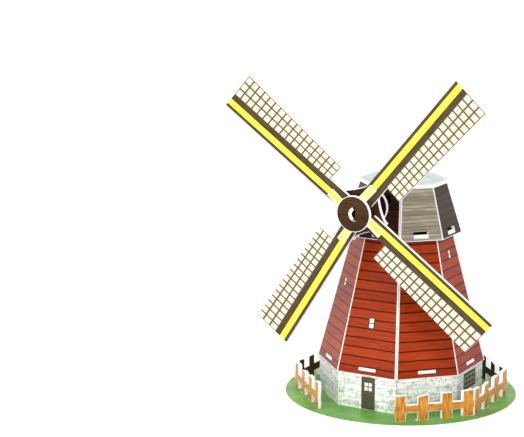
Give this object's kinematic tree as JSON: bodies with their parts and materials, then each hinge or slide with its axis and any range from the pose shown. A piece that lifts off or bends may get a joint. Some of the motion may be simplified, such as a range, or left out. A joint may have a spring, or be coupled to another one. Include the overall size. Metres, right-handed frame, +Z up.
{
  "type": "slot-together windmill model",
  "caption": "Slot-together windmill model of printed foam-core card: eight-sided plank tower on a round base, fence, and a rotor of four lattice sails that turns on a rolled shaft.",
  "frame": {"origin": "centre of the round base board's underside", "axes": "+Z up, -Y towards the door and the hub, +X to the right as seen from the door"},
  "size_m": [0.1524, 0.1327, 0.1901],
  "materials": {
    "grass_print": "semi-gloss printed paper on foam core, green grass pattern",
    "stone_print": "semi-gloss printed paper on foam core, pale stone blocks",
    "plank_print": "semi-gloss printed paper on foam core, red-brown planks",
    "cap_print": "semi-gloss printed paper on foam core, brown and grey planks",
    "roof_print": "semi-gloss pale grey paper on foam core",
    "fence_print": "semi-gloss printed paper on foam core, orange-brown timber",
    "sail_print": "semi-gloss printed paper on foam core, yellow spar and cream lattice",
    "hub_print": "semi-gloss printed paper on foam core, dark brown",
    "foam_board": "plain white foam-core card"
  },
  "bodies": {
    "root": {"base_board": "grass_print", "stone_wall_left": "stone_print", "stone_wall_right": "stone_print", "tower_front_left": "plank_print", "tower_front_right": "plank_print", "tower_rear_right": "plank_print", "tower_rear_left": "plank_print", "lower_floor": "foam_board", "upper_floor": "foam_board", "cap_floor": "foam_board", "cap_front_left": "cap_print", "cap_front_right": "cap_print", "cap_rear_right": "cap_print", "cap_rear_left": "cap_print", "cap_roof": "roof_print", "shaft_bearing": "foam_board", "fence_left": "fence_print", "fence_front_right": "fence_print", "fence_rear_right": "fence_print", "fence_rear_left": "fence_print"},
    "rotor": {"windshaft": "foam_board", "sail_upper_right": "sail_print", "sail_upper_left": "sail_print", "sail_lower_left": "sail_print", "sail_lower_right": "sail_print", "hub_cross": "sail_print", "front_disc": "hub_print", "star_plate": "hub_print", "rear_disc": "hub_print", "stop_disc": "foam_board"}
  },
  "joints": [
    {"name": "rotor_spin", "type": "hinge", "parent": "root", "child": "rotor", "pos_m": [0, -0.0569, 0.1157], "axis": [0, -0.9994, -0.0349], "continuous": true}
  ]
}
